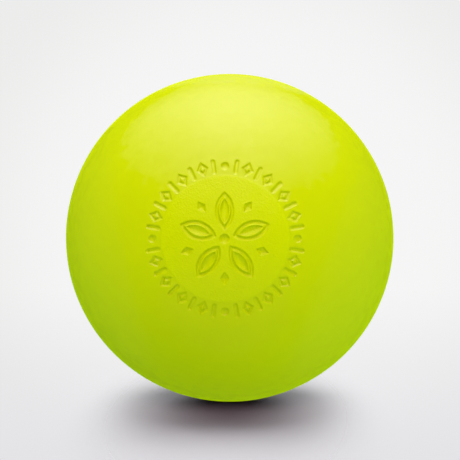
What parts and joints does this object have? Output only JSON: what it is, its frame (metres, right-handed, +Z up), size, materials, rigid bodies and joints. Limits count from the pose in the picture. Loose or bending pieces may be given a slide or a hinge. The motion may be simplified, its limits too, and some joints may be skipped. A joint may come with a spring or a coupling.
{
  "type": "lacrosse ball",
  "caption": "Solid lime lacrosse ball: a filled rubber core under a smooth two-piece moulded cover with a ring of recessed marks on one face.",
  "frame": {"origin": "centre of the ball", "axes": "+Z up as in the picture, -Y along the ball's pole axis out of the middle of the marked face, and the joint of the two cover halves in the plane y = 0"},
  "size_m": [0.0636, 0.0636, 0.0636],
  "materials": {
    "cover": "satin",
    "core": "matte"
  },
  "bodies": {
    "root": {"core": "core", "cover_front": "cover", "cover_back": "cover"}
  },
  "joints": []
}
